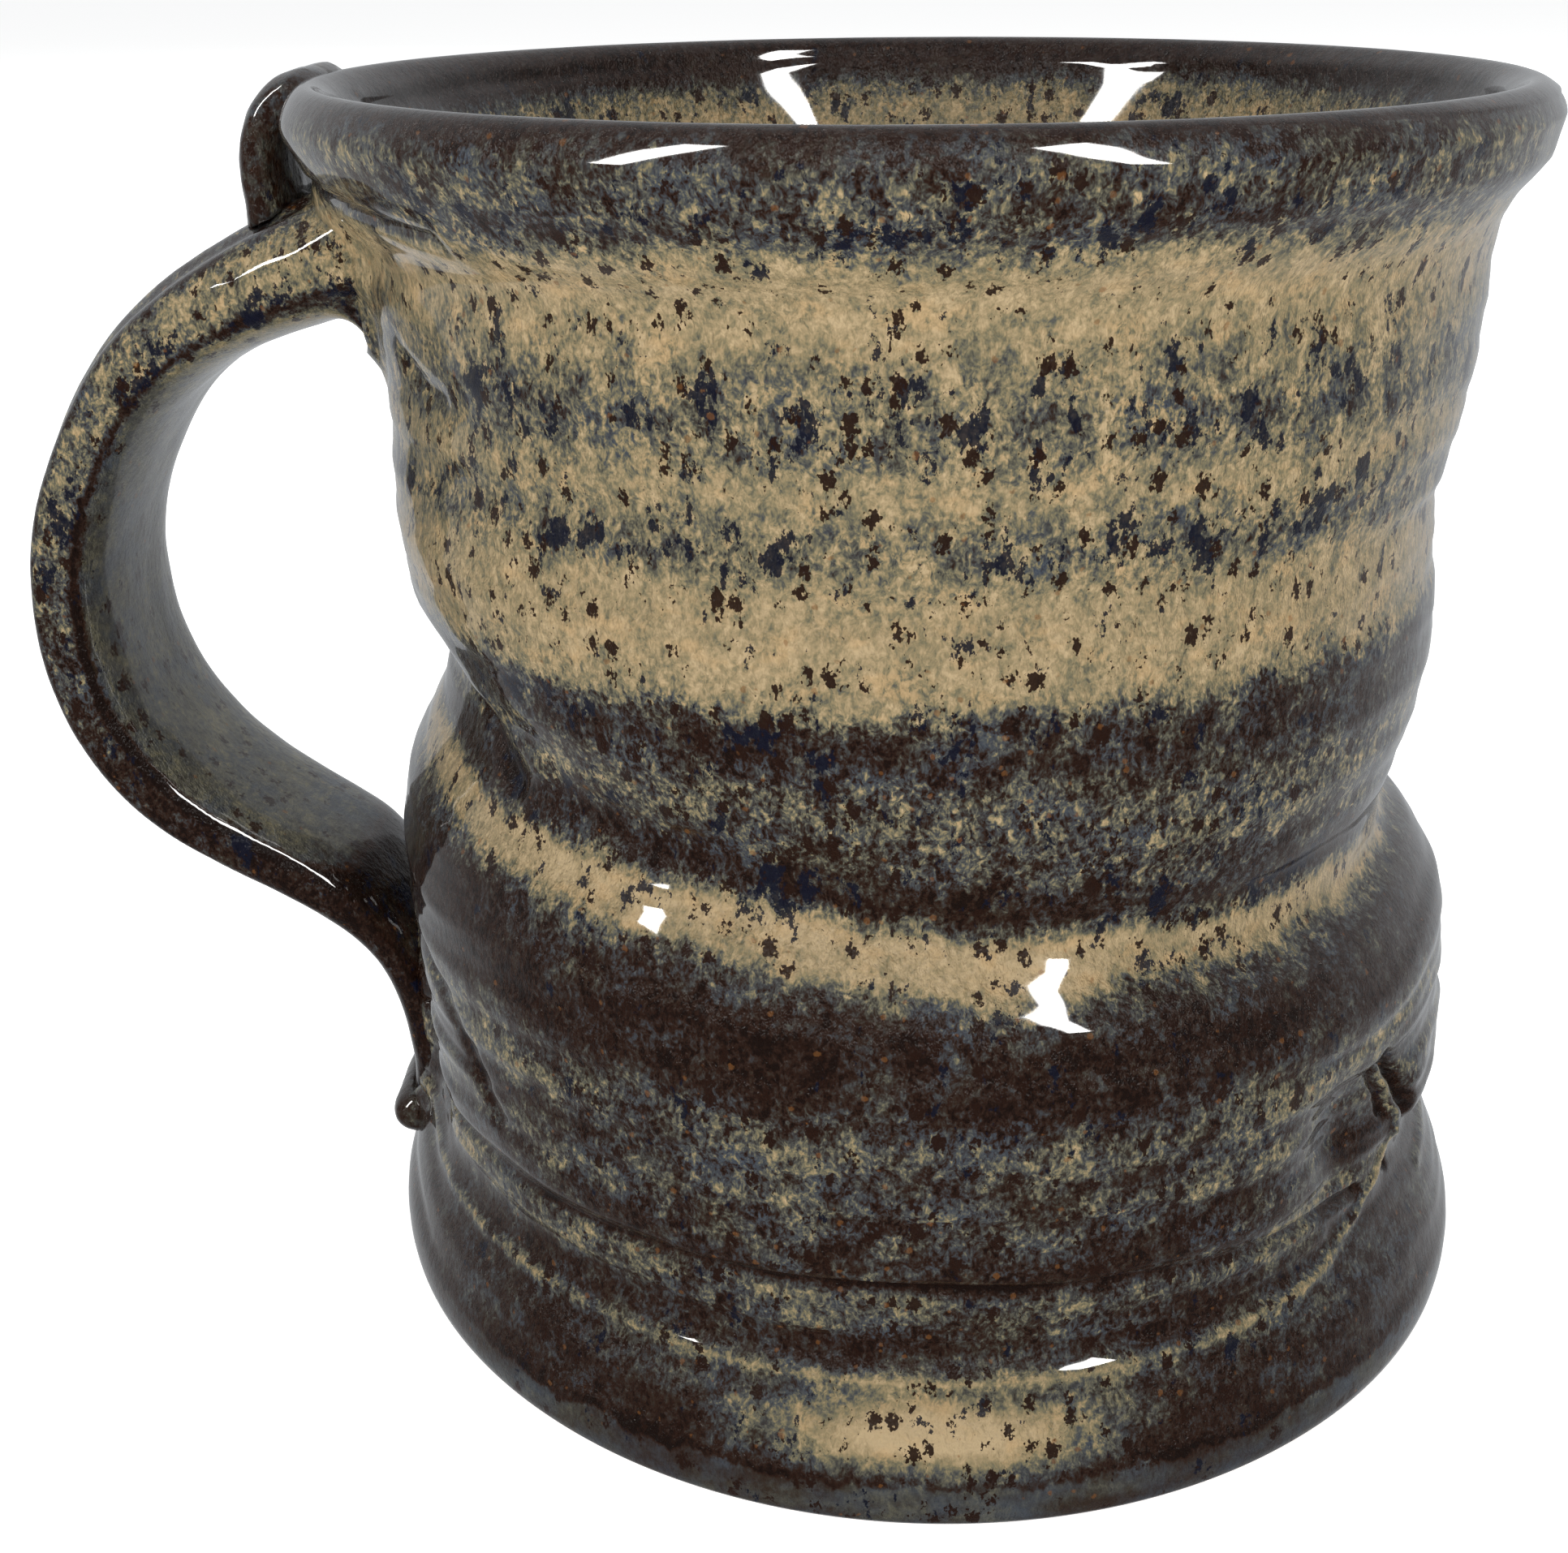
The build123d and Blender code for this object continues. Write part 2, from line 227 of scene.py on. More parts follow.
def refine(piece, azimuths, heights, radius=40.0):
    """Cuts the faces of one patch of the outer wall in four."""
    activate(piece)
    for face in piece.data.polygons:
        x, y, z = face.center / MM
        turn = math.degrees(math.atan2(y, x))
        face.select = (math.hypot(x, y) > radius and azimuths[0] < turn < azimuths[1]
                       and heights[0] < z < heights[1])
    for edge in piece.data.edges:
        edge.select = False
    for point in piece.data.vertices:
        point.select = False
    bpy.ops.object.mode_set(mode="EDIT")
    bpy.ops.mesh.select_mode(type="FACE")
    bpy.ops.mesh.subdivide(number_cuts=1)
    bpy.ops.mesh.select_mode(type="VERT")
    bpy.ops.object.mode_set(mode="OBJECT")


# The patch of the wall round the pressed crease, where the mesh is finer.
CREASE_AZIMUTHS = (-48, -16)
CREASE_HEIGHTS = (9.0, 31.0)

# Marks worked into the soft wall: how deep (mm, negative stands proud), half width (mm), how much painted shade
# darkens the glaze in it (negative paints it lighter along a ridge), and its run as (azimuth, height) places.
MARKS = [
    (0.7, 0.5, 1.0, [(-175, 19.6), (-150, 17.6), (-127, 17.6), (-100, 18.2), (-88, 18.1), (-69, 17.4), (-50, 16.2),
                     (-38, 15.2)]),
    (0.25, 0.5, 0.5, [(-170, 26.2), (-120, 24.4), (-85, 23.6), (-55, 22.4)]),
    (-0.42, 0.5, -1.3, [(-176, 10.4), (-120, 10.5), (-60, 10.5), (-45, 11.3), (-38, 13.0), (-34, 15.4),
                        (-31.6, 18.2)]),
    (-0.28, 0.5, -0.4, [(-160, 15.4), (-110, 14.6), (-60, 13.2), (-44, 13.6)]),
    (1.5, 0.5, 1.2, [(-35.9, 26.6), (-33.6, 24.4), (-31.6, 22.4), (-29.6, 19.8), (-28.9, 17.6), (-29.4, 16.4)]),
    (0.5, 0.4, 1.0, [(-29.4, 16.4), (-28.6, 13.4)]),
    (0.8, 0.38, 1.0, [(-38.0, 25.8), (-35.6, 23.2), (-34.2, 20.8)]),
    (-0.35, 0.4, -0.9, [(-36.9, 25.6), (-34.0, 22.6), (-32.0, 20.2), (-31.2, 17.6)]),
    (0.7, 2.6, 0.1, [(-44.0, 23.5), (-42.0, 19.0)]),
    (1.0, 2.2, 0.0, [(-29.0, 15.4), (-18.0, 15.0), (0.0, 15.0)]),
    (-0.9, 2.8, 0.0, [(-28.0, 21.4), (-18.0, 21.0), (0.0, 20.6)]),
    (2.2, 4.2, 0.0, [(-168.0, 31.0), (-164.0, 24.0), (-161.0, 16.5)]),
    (0.9, 0.9, 0.9, [(-170, 56.0), (-155, 54.8), (-146, 52.0), (-138, 48.6)]),
    (-0.6, 1.6, -0.2, [(-168, 59.0), (-152, 57.5), (-142, 54.5), (-134, 51.0)]),
    (0.5, 0.7, 0.7, [(-152, 78.0), (-147, 76.6), (-142, 76.2)]),
    (0.8, 0.45, 1.0, [(-168, 90.6), (-158, 89.2), (-146, 88.3), (-133, 87.4)]),
    (0.6, 0.8, 0.6, [(-158, 33.0), (-146, 29.5), (-141, 26.0), (-137, 22.5)]),
    (0.35, 1.2, 0.1, [(-100, 66.0), (-60, 67.5), (-20, 66.5), (20, 64.0)]),
    (0.3, 1.5, 0.0, [(-150, 70.0), (-110, 72.5), (-60, 73.5)]),
    (0.5, 0.6, 0.8, [(20, 23.0), (60, 20.5), (110, 17.5), (150, 15.6)]),
    (-0.3, 0.5, -0.8, [(-20, 10.2), (60, 10.5), (130, 10.3), (176, 10.4)]),
    (0.8, 1.0, 0.6, [(62, 33.0), (66, 27.0), (64, 20.0)]),
]


def distance_to_run(azimuth, height, run, radius=43.0):
    """Distance over the unrolled wall from each point to a run of (azimuth, height) places."""
    best = np.full(len(azimuth), 1e9)
    arc = math.radians(1) * radius
    for (a0, z0), (a1, z1) in zip(run, run[1:]):
        turn = ((azimuth - a0 + 180) % 360 - 180) * arc
        rise = height - z0
        leg = np.array([(a1 - a0) * arc, z1 - z0])
        along = np.clip((turn * leg[0] + rise * leg[1]) / leg.dot(leg), 0, 1)
        best = np.minimum(best, np.hypot(turn - along * leg[0], rise - along * leg[1]))
    return best


def work_the_wall(wall, inside):
    """Finger rings, folds, grooves and ridges, pushed into the wall along its normals."""
    points, normals = read_points(wall), read_normals(wall)
    azimuth = np.degrees(np.arctan2(points[:, 1], points[:, 0]))
    height = points[:, 2]
    outside = ease(height, FOOT_EDGE + 0.6, FOOT_EDGE + 2.5) * (1 - inside)
    outside *= 1 - ease(height, CREST - 3.5, CREST - 1)
    soft = wander(points * (1, 1, 0.6), 14.0, 1)
    fine = wander(points * (1, 1, 2.2), 5.0, 2)
    climb = height + azimuth / 360 * RING_PITCH + 0.9 * soft
    rings = 0.09 * np.sin(climb / RING_PITCH * 2 * math.pi)
    rings += 0.035 * np.sin(climb / FINE_RING_PITCH * 2 * math.pi + 2 * soft)
    belly = 0.7 + 0.4 * ease(height, 10, 16) * (1 - ease(height, 34, 42))
    push = outside * (rings * belly + 0.16 * soft + 0.07 * fine)
    # Painted shade: each mark darkens the glaze down its crease, and paints it lighter along a ridge where its
    # weight is negative.
    painted_crease_shade = np.zeros(len(points))
    for depth, half_width, shade_weight, run in MARKS:
        near = np.exp(-(distance_to_run(azimuth, height, run) / half_width) ** 2) * outside
        near *= 0.8 + 0.3 * fine
        push -= depth * near
        painted_crease_shade += shade_weight * near
    inner = inside * ease(height, FLOOR_TOP + 6, FLOOR_TOP + 12) * (1 - ease(height, CREST - 2.5, CREST - 0.8))
    fingers = 0.16 * np.sin(climb / INNER_RING_PITCH * 2 * math.pi)
    push += inner * (fingers + 0.2 * soft + 0.16 * wander(points, 6.0, 3))
    write_points(wall, points + normals * push[:, None])
    note(wall, "painted_crease_shade", np.clip(painted_crease_shade, -1.5, 1.2))
    note(wall, "inside", inside)
    note(wall, "bare", (height < 0.05).astype(float))


def press_clay_round(wall, handle_tree, reach=3.2, lift=1.5):
    """Raises the wall a little all round the places where the handle's clay is joined to it."""
    points, normals = read_points(wall), read_normals(wall)
    lifted = points.copy()
    for index in np.nonzero(points[:, 0] < -0.6 * FOOT_RADIUS)[0]:
        if points[index].dot(normals[index] * (1, 1, 0)) < 0:
            continue
        _, _, _, distance = handle_tree.find_nearest(Vector(points[index]) * MM, reach * MM)
        if distance is not None:
            share = 1 - distance / MM / reach
            lifted[index] += normals[index] * lift * share * share
    write_points(wall, lifted)


def make_body():
    """The thrown wall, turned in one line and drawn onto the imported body."""
    target = copy_of_node("thrown_body", "wall_target")
    line = UNDER_LINE + EDGE_LINE + turned_line(LOWER_LINE, FINE_STEP) + turned_line(UPPER_LINE, OUTER_STEP)[1:]
    line += turned_line(lip_line(), OUTER_STEP) + turned_line(INNER_LINE, INNER_STEP)
    wall = spin_line(line + turned_line(FLOOR_LINE, INNER_STEP)[1:], "glazed_wall")
    refine(wall, CREASE_AZIMUTHS, CREASE_HEIGHTS)
    points = read_points(wall)
    drawn = wall.vertex_groups.new(name="drawn")
    drawn.add(np.nonzero(points[:, 2] > FOOT_EDGE - 0.2)[0].tolist(), 1.0, "REPLACE")
    inside = (np.hypot(points[:, 0], points[:, 1]) < INSIDE_LIMIT) & (points[:, 2] > FLOOR_TOP)
    finish_modifier(wall, "SHRINKWRAP", target=target, wrap_method="PROJECT", use_negative_direction=True,
                    use_positive_direction=False, cull_face="BACK", project_limit=REACH * MM, vertex_group="drawn")
    finish_modifier(wall, "SMOOTH", factor=0.5, iterations=WALL_SMOOTHING, vertex_group="drawn")
    bpy.data.objects.remove(target)
    work_the_wall(wall, inside.astype(float))
    return wall


# --- the handle and its additions ---

def clay_from(nodes, name, voxel, rounds):
    """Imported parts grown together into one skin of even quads, rubbed smooth as wet clay is."""
    piece = join([copy_of_node(node, name + "_" + node) for node in nodes], name)
    finish_modifier(piece, "REMESH", mode="VOXEL", voxel_size=voxel * MM, adaptivity=0.0)
    finish_modifier(piece, "SMOOTH", factor=0.5, iterations=rounds)
    return piece


def bed_into_wall(piece, wall_tree, skin=0.9, sink=1.1):
    """Presses the parts of a piece that lie against the wall a little way into it."""
    points = read_points(piece)
    for index, point in enumerate(points):
        spot, normal, _, distance = wall_tree.find_nearest(Vector(point) * MM, skin * MM)
        if distance is not None:
            share = 1 - distance / MM / skin
            points[index] = point - np.array(normal) * sink * share
    write_points(piece, points)


def roughen(piece, size, pitch, seed):
    """Leaves the slight unevenness of hand-pulled clay."""
    points, normals = read_points(piece), read_normals(piece)
    lumps = wander(points, pitch, seed) + 0.4 * wander(points, pitch / 3, seed + 1)
    write_points(piece, points + normals * (size * lumps)[:, None])


def make_handle():
    """The pulled strap and the clay under its root, with the grooves of pulling; notes which way it faces."""
    strap = clay_from(["pulled_handle", "upper_joint_coil"], "glazed_handle", 0.5, 8)
    points = read_points(strap)
    low, high = [np.array(corner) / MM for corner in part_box("upper_joint_coil")]
    away = np.linalg.norm(np.maximum(np.maximum(low - points, points - high), 0), axis=1)
    joint = strap.vertex_groups.new(name="joint")
    joint.add(np.nonzero(away < 1.5)[0].tolist(), 1.0, "REPLACE")
    finish_modifier(strap, "SMOOTH", factor=0.7, iterations=40, vertex_group="joint")
    points, normals = read_points(strap), read_normals(strap)
    middle = np.array(LOOP_MIDDLE)
    inward = (middle - points) * (1, 0, 1)
    inward /= np.linalg.norm(inward, axis=1)[:, None]
    facing = (normals * inward).sum(axis=1)
    grooves = PULL_DEPTH * np.cos(np.abs(points[:, 1]) / PULL_PITCH * math.pi)
    grooves *= ease(-facing, 0.2, 0.8) * ease(points[:, 2], 24, 36)
    write_points(strap, points + normals * grooves[:, None])
    note(strap, "turn", facing)
    return strap


def tree_of(piece):
    """A search tree over a piece's faces."""
    grid = bmesh.new()
    grid.from_mesh(piece.data)
    tree = BVHTree.FromBMesh(grid)
    grid.free()
    return tree


wall = make_body()
handle = make_handle()
thumb = clay_from(["thumb_rest"], "glazed_thumb_rest", 0.4, 6)
scroll = clay_from(["tail_scroll"], "glazed_tail_scroll", 0.3, 4)
wall_tree = tree_of(wall)
for piece in (handle, thumb, scroll):
    bed_into_wall(piece, wall_tree)
roughen(handle, 0.12, 9.0, 5)
roughen(thumb, 0.15, 4.0, 7)
roughen(scroll, 0.15, 3.0, 9)
press_clay_round(wall, tree_of(handle))
for piece in (wall, handle, thumb, scroll):
    write_points(piece, np.clip(read_points(piece), np.array(cad_box[0]) / MM, np.array(cad_box[1]) / MM))
    activate(piece)
    bpy.ops.object.shade_smooth()


# --- the glaze ---

def tint(red, green, blue):
    """A colour given as 0 to 255 screen values, as the shader wants it."""
    shares = [value / 255 for value in (red, green, blue)]
    return tuple(((share + 0.055) / 1.055) ** 2.4 if share > 0.04 else share / 12.92 for share in shares) + (1.0,)


class Number:
    """A number that changes over the surface; arithmetic on it adds the Math nodes."""

    def __init__(self, recipe, socket):
        self.recipe, self.socket = recipe, socket

    def _sum(self, operation, *others):
        return self.recipe.maths(operation, self, *others)

    def __add__(self, other):
        return self._sum("ADD", other)

    def __sub__(self, other):
        return self._sum("SUBTRACT", other)

    def __mul__(self, other):
        return self._sum("MULTIPLY", other)

    def __truediv__(self, other):
        return self._sum("DIVIDE", other)

    def __radd__(self, other):
        return self.recipe.maths("ADD", other, self)

    def __rsub__(self, other):
        return self.recipe.maths("SUBTRACT", other, self)

    def __rmul__(self, other):
        return self.recipe.maths("MULTIPLY", other, self)

    def beside(self, name):
        """Another output of the node that this number comes from."""
        return Number(self.recipe, self.socket.node.outputs[name])

    def clip(self):
        return self.recipe.node("ShaderNodeClamp", {}, {"Value": self})

    def cos(self):
        return self._sum("COSINE")

    def sin(self):
        return self._sum("SINE")

    def size(self):
        return self._sum("ABSOLUTE")

    def over(self, low, high):
        """A smooth rise from 0 at low to 1 at high."""
        return self.recipe.node("ShaderNodeMapRange", {"interpolation_type": "SMOOTHSTEP"},
                                {"Value": self, "From Min": low, "From Max": high})

    def under(self, low, high):
        return 1 - self.over(low, high)

    def near(self, middle, width):
        """1 at middle, falling to 0 a width away on either side."""
        return (self - middle).size().under(0.0, width)


class Recipe:
    """One glaze's node tree."""

    def __init__(self, name):
        self.material = bpy.data.materials.new(name)
        self.material.use_nodes = True
        self.tree = self.material.node_tree
        self.shader = self.tree.nodes["Principled BSDF"]

    def node(self, kind, settings, inputs, output=0):
        """Adds a node: its settings, then the values or links of its sockets; gives back one output."""
        made = self.tree.nodes.new(kind)
        for name, value in settings.items():
            if name == "stops":
                self.set_stops(made.color_ramp, value)
            else:
                setattr(made, name, value)
        for name, value in inputs.items():
            self.put(made.inputs[name], value)
        return Number(self, made.outputs[output])

    def set_stops(self, ramp, stops):
        """Replaces a colour ramp's stops with (place, colour) pairs."""
        while len(ramp.elements) > 1:
            ramp.elements.remove(ramp.elements[-1])
        for index, (place, colour) in enumerate(stops):
            stop = ramp.elements[0] if index == 0 else ramp.elements.new(place)
            stop.position = place
            stop.color = colour

    def put(self, socket, value):
        """Links a number to a socket, or sets the socket to a constant."""
        if isinstance(value, Number):
            self.tree.links.new(value.socket, socket)
        else:
            socket.default_value = value

    def maths(self, operation, *values):
        return self.node("ShaderNodeMath", {"operation": operation}, dict(enumerate(values)))

    def places(self, stretch=(1, 1, 1)):
        """The point on the piece in millimetres, stretched."""
        where = self.node("ShaderNodeTexCoord", {}, {}, "Object")
        return self.node("ShaderNodeVectorMath", {"operation": "MULTIPLY"},
                         {0: where, 1: tuple(1000.0 * s for s in stretch)})

    def shifted(self, places, lumps, amount):
        """The same places pushed about by a coloured noise."""
        push = self.node("ShaderNodeTexNoise", {}, {"Vector": places, "Scale": 1 / lumps, "Detail": 2.0}, 1)
        push = self.node("ShaderNodeVectorMath", {"operation": "SUBTRACT"}, {0: push, 1: (0.5, 0.5, 0.5)})
        push = self.node("ShaderNodeVectorMath", {"operation": "SCALE"}, {0: push, "Scale": amount})
        return self.node("ShaderNodeVectorMath", {"operation": "ADD"}, {0: places, 1: push})

    def clouds(self, places, lumps, detail=3.0, rough=0.6):
        """Noise of about -1 to 1, with lumps of the given size in millimetres."""
        cloud = self.node("ShaderNodeTexNoise", {}, {"Vector": places, "Scale": 1 / lumps, "Detail": detail,
                                                     "Roughness": rough})
        return (cloud - 0.5) * 3.2

    def dots(self, places, pitch, size, seed=0.0):
        """Scattered dots: how strongly each place lies in one, with sizes that differ from dot to dot."""
        moved = self.node("ShaderNodeVectorMath", {"operation": "ADD"}, {0: places, 1: (seed, 2 * seed, -seed)})
        settings, inputs = {"feature": "F1"}, {"Vector": moved, "Scale": 1 / pitch}
        reach = self.node("ShaderNodeTexVoronoi", settings, inputs, "Distance")
        chance = self.node("ShaderNodeSeparateColor", {}, {"Color": reach.beside("Color")})
        return (size * chance - reach).over(-0.02, 0.05)

    def blend(self, share, first, second):
        """The first colour, with a share of the second."""
        return self.node("ShaderNodeMix", {"data_type": "RGBA"}, {0: share, 6: first, 7: second}, 2)

    def own(self, name):
        """A number kept on the piece's points."""
        return self.node("ShaderNodeAttribute", {"attribute_name": name}, {}, "Fac")

    def grade(self, value, low, high, stops):
        """A number read off a run of (place, number) stops between low and high."""
        greys = [((place - low) / (high - low), (number, number, number, 1.0)) for place, number in stops]
        return self.node("ShaderNodeValToRGB", {"stops": greys}, {0: (value - low) / (high - low)})


# The glaze's colours from thin to thick: bare brown on the ridges, slate where it breaks, cream where it pools.
GLAZE_RUN = [(0.0, tint(24, 11, 6)), (0.14, tint(44, 25, 16)), (0.28, tint(52, 42, 34)), (0.40, tint(66, 64, 58)),
             (0.52, tint(92, 90, 77)), (0.64, tint(118, 112, 88)), (0.76, tint(144, 130, 99)),
             (0.88, tint(166, 147, 113)), (1.0, tint(184, 163, 128))]
SLATE_BLUE = tint(58, 71, 90)
WARM_CREAM = tint(196, 162, 116)
NAVY = tint(11, 15, 34)
RUST_BROWN = tint(36, 17, 8)
OCHRE = tint(122, 78, 36)
BARE_CLAY = tint(172, 140, 108)

# The clear gloss that lies over the colour.
GLOSS = {"IOR": 1.5, "Specular IOR Level": 0.12, "Coat Weight": 1.0, "Coat Roughness": 0.05, "Coat IOR": 1.5}

TOP = 96.0                    # the height at which every run below ends
HALF = 48.0                   # where the outside's two runs meet

# How thick the glaze lies at each height outside: (height, thickness). Below 3.3 mm the foot's upright edge is set
# to a smooth grey slate, dark glaze with a painted reflection of the pale floor in it.
THICK_LOW = [(0.0, 0.33), (3.3, 0.33), (3.6, 0.05), (4.6, 0.2), (8.5, 0.26), (10.0, 0.28), (11.2, 0.2),
             (13.5, 0.16), (15.6, 0.48), (17.4, 0.54), (18.6, 0.2), (21.0, 0.24), (24.0, 0.48), (26.4, 0.26),
             (29.0, 0.5), (31.4, 0.3), (33.6, 0.1), (36.5, 0.12), (38.6, 0.22), (40.0, 0.5), (41.2, 0.86),
             (43.2, 0.92), (44.4, 0.46), (45.6, 0.14), (48.0, 0.26)]
THICK_HIGH = [(48.0, 0.28), (51.0, 0.46), (54.0, 0.42), (56.5, 0.22), (58.6, 0.3), (60.2, 0.72), (63.5, 0.84),
              (67.0, 0.8), (69.4, 0.58), (71.5, 0.66), (73.5, 0.78), (75.8, 0.62), (77.8, 0.54), (80.0, 0.64),
              (82.5, 0.76), (86.0, 0.84), (87.6, 0.68), (88.8, 0.38), (90.6, 0.4), (92.4, 0.44), (93.8, 0.26),
              (94.8, 0.06)]
# How thick it lies inside.
THICK_INSIDE = [(4.0, 0.62), (20.0, 0.66), (60.0, 0.72), (80.0, 0.8), (89.0, 0.76), (90.8, 0.62), (91.8, 0.3),
                (92.6, 0.1), (96.0, 0.08)]
# How thick it lies on the strap's edges, on the face towards the mug and on the face away from it.
STRAP_EDGE = [(0.0, 0.1), (30.0, 0.1), (38.0, 0.14), (46.0, 0.24), (54.0, 0.38), (62.0, 0.52), (76.0, 0.6),
              (84.0, 0.72), (92.0, 0.6)]
STRAP_FACE = [(0.0, 0.1), (28.0, 0.3), (36.0, 0.5), (60.0, 0.44), (72.0, 0.5), (80.0, 0.74), (92.0, 0.7)]
STRAP_BACK = [(0.0, 0.08), (34.0, 0.12), (50.0, 0.24), (70.0, 0.42), (90.0, 0.4)]
# How freckled it is at each height; little on the foot's upright edge, where the painted floor reflection is kept
# smooth.
GRAIN = [(0.0, 0.15), (3.3, 0.2), (3.6, 0.6), (10.0, 0.75), (20.0, 0.85), (40.0, 0.85), (48.0, 1.0), (60.0, 0.9),
         (90.0, 0.95), (96.0, 0.7)]
# Where the dark blue blotches gather.
BLOTCH_ROWS = [(20.0, 0.2), (40.0, 0.25), (44.5, 0.55), (48.0, 0.45), (55.5, 0.4), (58.0, 0.75), (60.5, 0.3),
               (64.0, 0.16), (67.5, 0.5), (70.0, 0.95), (72.4, 0.45), (75.0, 0.6), (77.6, 0.9), (79.5, 0.75),
               (82.0, 0.3), (86.0, 0.1), (88.0, 0.55), (89.6, 0.75), (91.5, 0.3), (94.0, 0.1)]


def glaze(name, lay):
    """A glossy, streaked and speckled glaze; lay says how thick and how blotched it is at each place."""
    recipe = Recipe(name)
    places = recipe.places()
    runs = recipe.shifted(recipe.places((1, 1, 0.75)), 0.9, 0.7)
    coarse = recipe.clouds(runs, 1.9, 4.0, 0.72)
    grainy = recipe.clouds(runs, 0.42, 2.0, 0.7)
    thickness, blotches, grain = lay(recipe, places, coarse)
    unsure = thickness.near(0.42, 0.55)
    laid = thickness + grain * (coarse * (0.2 + unsure * 0.34) + grainy * (0.2 + unsure * 0.34))
    colour = recipe.node("ShaderNodeValToRGB", {"stops": GLAZE_RUN}, {0: laid})
    cool = recipe.clouds(recipe.places((1, 1, 1.4)), 5.0, 3.0, 0.7)
    colour = recipe.blend((laid.near(0.42, 0.28) * (0.2 + cool * 0.6)).clip(), colour, SLATE_BLUE)
    warm = recipe.clouds(recipe.places((1, 1, 1.8)), 3.6, 3.0, 0.6)
    colour = recipe.blend((laid.over(0.6, 0.85) * warm.over(0.0, 0.6) * 0.4).clip(), colour, WARM_CREAM)
    spots = recipe.clouds(recipe.places((1, 1, 0.62)), 2.3, 5.0, 0.74)
    navy = (spots * 1.9 + blotches).over(0.9, 1.06)
    colour = recipe.blend(navy * 0.93, colour, NAVY)
    flecks = recipe.clouds(recipe.places((1.1, 1.1, 0.7)), 0.95, 3.0, 0.7)
    stars = recipe.dots(recipe.shifted(recipe.places((1, 1, 0.72)), 0.3, 1.4), 1.4, 0.42)
    brown = flecks.over(0.6, 0.7) + stars
    colour = recipe.blend(brown.clip() * 0.97, colour, RUST_BROWN)
    rusty = recipe.dots(recipe.shifted(places, 0.4, 0.4), 1.5, 0.18, 77.0)
    colour = recipe.blend(rusty * 0.5, colour, OCHRE)
    recipe.put(recipe.shader.inputs["Base Color"], colour)
    recipe.put(recipe.shader.inputs["Roughness"], 0.34 + grainy * 0.05)
    for socket, value in GLOSS.items():
        recipe.shader.inputs[socket].default_value = value
    peel = recipe.clouds(recipe.places((1, 1, 0.6)), 1.7, 4.0, 0.72)
    bump = recipe.node("ShaderNodeBump", {}, {"Height": peel + flecks * 0.25, "Strength": 1.0, "Distance": 0.00024})
    recipe.put(recipe.shader.inputs["Normal"], bump)
    return recipe


def wall_height(recipe, places, coarse):
    """Height up the wall, following the slumped waist and wandering a little."""
    across = recipe.node("ShaderNodeSeparateXYZ", {}, {0: places}, "X")
    deep, height = across.beside("Y"), across.beside("Z")
    azimuth = recipe.maths("ARCTAN2", deep, across)
    slump = 3.0 - 5.6 * azimuth.cos() + 3.2 * azimuth.sin()
    share = height.over(26, 42) * height.under(46, 60)
    wobble = recipe.clouds(recipe.places((1, 1, 0.3)), 11.0, 1.0)
    teeth = recipe.clouds(recipe.places((1, 1, 0.25)), 2.0, 3.0, 0.7)
    return height - slump * share * 0.62 + wobble * 0.55 + teeth * 0.8 + coarse * 0.3, azimuth, height


def lay_on_wall(recipe, places, coarse):
    """How the glaze lies on the cup: bands outside, a splash on the foot, and cream inside."""
    height, azimuth, level = wall_height(recipe, places, coarse)
    low = recipe.grade(height, 0.0, HALF, THICK_LOW)
    high = recipe.grade(height, HALF, TOP, THICK_HIGH)
    upper = height.over(HALF - 0.1, HALF + 0.1)
    outside = low * (1 - upper) + high * upper
    splash = level.near(7.0, 4.4) * azimuth.near(math.radians(-88), 0.5)
    drift = recipe.clouds(recipe.places((1, 1, 3.2)), 13.0, 2.0) * level.under(30, 60)
    # Painted shade: the creases' values thin the glaze towards dark brown, and negative values paint the ridges
    # lighter.
    outside = outside + splash * 0.85 + drift * 0.2 - recipe.own("painted_crease_shade") * 0.4
    within = recipe.own("inside").over(0.4, 0.6)
    inner = recipe.grade(height + coarse * 0.9, 4.0, TOP, THICK_INSIDE)
    patches = recipe.clouds(recipe.places((1, 1, 1.6)), 8.0, 2.0)
    rows = recipe.grade(height, 20.0, 94.0, BLOTCH_ROWS) * (0.76 + patches * 0.6)
    grain = recipe.grade(level, 0.0, TOP, GRAIN)
    return outside * (1 - within) + inner * within, rows, grain


def lay_on_handle(recipe, places, coarse):
    """How the glaze lies on the strap, thin where an edge breaks it."""
    height = recipe.node("ShaderNodeSeparateXYZ", {}, {0: places}, "Z") + coarse * 1.2
    turn = recipe.own("turn")
    edge, face, back = (recipe.grade(height, 0.0, TOP, run) for run in (STRAP_EDGE, STRAP_FACE, STRAP_BACK))
    inner = turn.over(0.55, 0.8)
    outer = turn.under(-0.95, -0.7)
    thickness = face * inner + (1 - inner) * (back * outer + edge * (1 - outer))
    border = turn.near(0.5, 0.3) + 0.5 * turn.near(-0.8, 0.25)
    return thickness - border * 0.5, turn.near(0.2, 0.8) * 0.75, 1.0 - inner * 0.7


def lay_dark(recipe, places, coarse):
    """Thin and dark all over."""
    return 0.26 + coarse * 0.1, coarse * 0.2, 0.5 + coarse * 0.1


